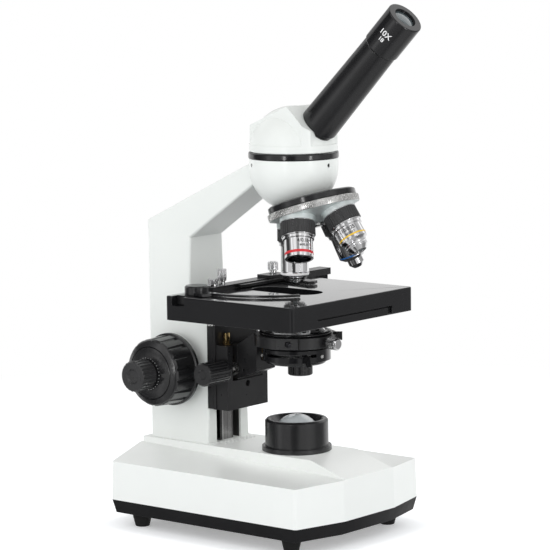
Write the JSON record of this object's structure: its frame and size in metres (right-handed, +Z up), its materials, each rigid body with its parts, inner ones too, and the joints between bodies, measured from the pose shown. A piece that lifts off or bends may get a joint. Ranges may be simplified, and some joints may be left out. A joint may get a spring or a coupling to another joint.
{
  "type": "microscope",
  "caption": "Upright monocular laboratory microscope: cast stand with lamp, tilting objective turret, angled tube, mechanical stage, condenser and coaxial focusing knobs",
  "frame": {"origin": "On the table under the middle of the outline of the whole microscope, holder bar included", "axes": "X to the right as seen from the front (the eyepiece side), Y to the back towards the arm, Z up"},
  "size_m": [0.1806, 0.25, 0.3975],
  "materials": {
    "white_paint": "smooth semi-gloss white paint",
    "black_paint": "satin black paint",
    "black_anodised": "black anodised",
    "black_plastic": "satin moulded",
    "black_rubber": "matte",
    "steel": "ground",
    "chrome": "polished",
    "grey_metal": "satin turned",
    "brass": "machined",
    "glass": "polished",
    "frosted_glass": "frosted inside"
  },
  "bodies": {
    "stand": {"base_casing": "white_paint", "base_tray": "black_plastic", "rubber_feet": "black_rubber", "foot_screws": "steel", "arm": "white_paint", "grub_screws": "steel", "guide_rail": "steel", "shaft_bushes": "brass", "lamp_housing": "black_anodised", "lamp_lens": "frosted_glass", "lamp_bulb": "glass", "lamp_socket": "black_plastic", "switch_bezel": "black_plastic", "power_inlet": "black_plastic", "head_ring": "black_anodised", "nosepiece_base": "black_anodised", "nosepiece_pivot": "steel", "click_stop": "steel"},
    "coarse_drive": {"coarse_shaft": "steel", "coarse_knob_left": "black_plastic", "coarse_knob_right": "black_plastic"},
    "fine_drive": {"fine_shaft": "steel", "fine_knob_left": "black_plastic", "fine_knob_right": "black_plastic"},
    "slide": {"focus_slide": "black_anodised"},
    "stage_unit": {"stage_bracket": "black_anodised", "stage_bed": "black_anodised", "stage_screws": "steel"},
    "stage_top": {"stage_plate": "black_anodised", "drive_hanger": "black_anodised"},
    "y_drive": {"y_knob": "black_plastic"},
    "x_drive": {"x_knob": "black_plastic"},
    "holder": {"holder_bar": "black_anodised", "slide_jaw": "black_anodised", "holder_screws": "chrome"},
    "clip": {"slide_clip": "black_anodised"},
    "condenser": {"condenser_carrier": "black_anodised", "condenser_rack": "brass", "condenser_body": "chrome", "condenser_lens": "glass", "iris_housing": "black_anodised"},
    "iris": {"iris_lever": "steel"},
    "clamp": {"clamp_screw": "chrome"},
    "condenser_drive": {"condenser_shaft": "steel", "condenser_knob": "black_plastic"},
    "rocker": {"power_rocker": "black_plastic"},
    "head": {"head_housing": "white_paint", "head_prism": "glass", "eyepiece_tube": "black_anodised"},
    "eyepiece": {"eyepiece_barrel": "black_plastic", "eye_lens": "glass"},
    "nosepiece": {"nosepiece_turret": "grey_metal", "objective_collars": "black_plastic", "objective_4x_barrel": "chrome", "objective_10x_barrel": "chrome", "objective_lenses": "glass", "objective_40x_barrel": "chrome", "objective_100x_barrel": "chrome"},
    "nose_40": {"objective_40x_nose": "chrome"},
    "nose_100": {"objective_100x_nose": "chrome"}
  },
  "joints": [
    {"name": "stage_coarse", "type": "slide", "parent": "stand", "child": "slide", "axis": [0, 0, 1], "range_m": [-0.018, 0.002]},
    {"name": "coarse_turn", "type": "hinge", "parent": "stand", "child": "coarse_drive", "pos_m": [-0.0137, 0.08551, 0.1187], "axis": [1, 0, 0], "range_deg": [-19, 165]},
    {"name": "fine_turn", "type": "hinge", "parent": "stand", "child": "fine_drive", "pos_m": [-0.0137, 0.08551, 0.1187], "axis": [1, 0, 0], "range_deg": [-1810, 1810]},
    {"name": "stage_fine", "type": "slide", "parent": "slide", "child": "stage_unit", "axis": [0, 0, 1], "range_m": [-0.001, 0.001]},
    {"name": "stage_y", "type": "slide", "parent": "stage_unit", "child": "stage_top", "axis": [0, 1, 0], "range_m": [-0.031, 0]},
    {"name": "y_turn", "type": "hinge", "parent": "stage_top", "child": "y_drive", "pos_m": [0.0483, 0.03531, 0.13], "axis": [0, 0, 1], "range_deg": [-396, 1]},
    {"name": "holder_x", "type": "slide", "parent": "stage_top", "child": "holder", "axis": [1, 0, 0], "range_m": [-0.02, 0.03]},
    {"name": "x_turn", "type": "hinge", "parent": "stage_top", "child": "x_drive", "pos_m": [0.0483, 0.03531, 0.113], "axis": [0, 0, 1], "range_deg": [-383, 256]},
    {"name": "clip_swing", "type": "hinge", "parent": "holder", "child": "clip", "pos_m": [-0.0677, 0.03961, 0.186], "axis": [0, 0, 1], "range_deg": [-30, 10], "stiffness_Nm_per_rad": 0.03},
    {"name": "condenser_lift", "type": "slide", "parent": "stage_unit", "child": "condenser", "axis": [0, 0, 1], "range_m": [0, 0.0095]},
    {"name": "condenser_turn", "type": "hinge", "parent": "stage_unit", "child": "condenser_drive", "pos_m": [-0.0437, 0.03931, 0.1208], "axis": [1, 0, 0], "range_deg": [-1, 122]},
    {"name": "iris_swing", "type": "hinge", "parent": "condenser", "child": "iris", "pos_m": [-0.0137, -0.01099, 0.1368], "axis": [0, 0, 1], "range_deg": [-64, 13]},
    {"name": "clamp_turn", "type": "hinge", "parent": "condenser", "child": "clamp", "pos_m": [-0.01701, -0.04884, 0.1467], "axis": [-0.0872, -0.9962, 0], "range_deg": [0, 360]},
    {"name": "nosepiece_turn", "type": "hinge", "parent": "stand", "child": "nosepiece", "pos_m": [-0.0137, -0.02903, 0.24778], "axis": [0, -0.3007, -0.9537], "continuous": true},
    {"name": "nose_40_spring", "type": "slide", "parent": "nosepiece", "child": "nose_40", "axis": [-0.3007, 0.2868, 0.9096], "range_m": [0, 0.002], "stiffness_N_per_m": 1500},
    {"name": "nose_100_spring", "type": "slide", "parent": "nosepiece", "child": "nose_100", "axis": [0, 0, 1], "range_m": [0, 0.002], "stiffness_N_per_m": 1500},
    {"name": "head_turn", "type": "hinge", "parent": "stand", "child": "head", "pos_m": [-0.0137, -0.01099, 0.2878], "axis": [0, 0, 1], "continuous": true},
    {"name": "eyepiece_pull", "type": "slide", "parent": "head", "child": "eyepiece", "axis": [0, -0.7071, 0.7071], "range_m": [0, 0.03]},
    {"name": "power_rock", "type": "hinge", "parent": "stand", "child": "rocker", "pos_m": [0.02736, 0.051, 0.05475], "axis": [0.9936, 0, -0.113], "range_deg": [0, 14]}
  ],
  "couplings": [
    {"joint": "coarse_turn", "follows": "stage_coarse", "rad_per_m": -158.73},
    {"joint": "fine_turn", "follows": "stage_fine", "rad_per_m": 31416},
    {"joint": "y_turn", "follows": "stage_y", "rad_per_m": 222.22},
    {"joint": "x_turn", "follows": "holder_x", "rad_per_m": -222.22},
    {"joint": "condenser_turn", "follows": "condenser_lift", "rad_per_m": 222.22}
  ]
}
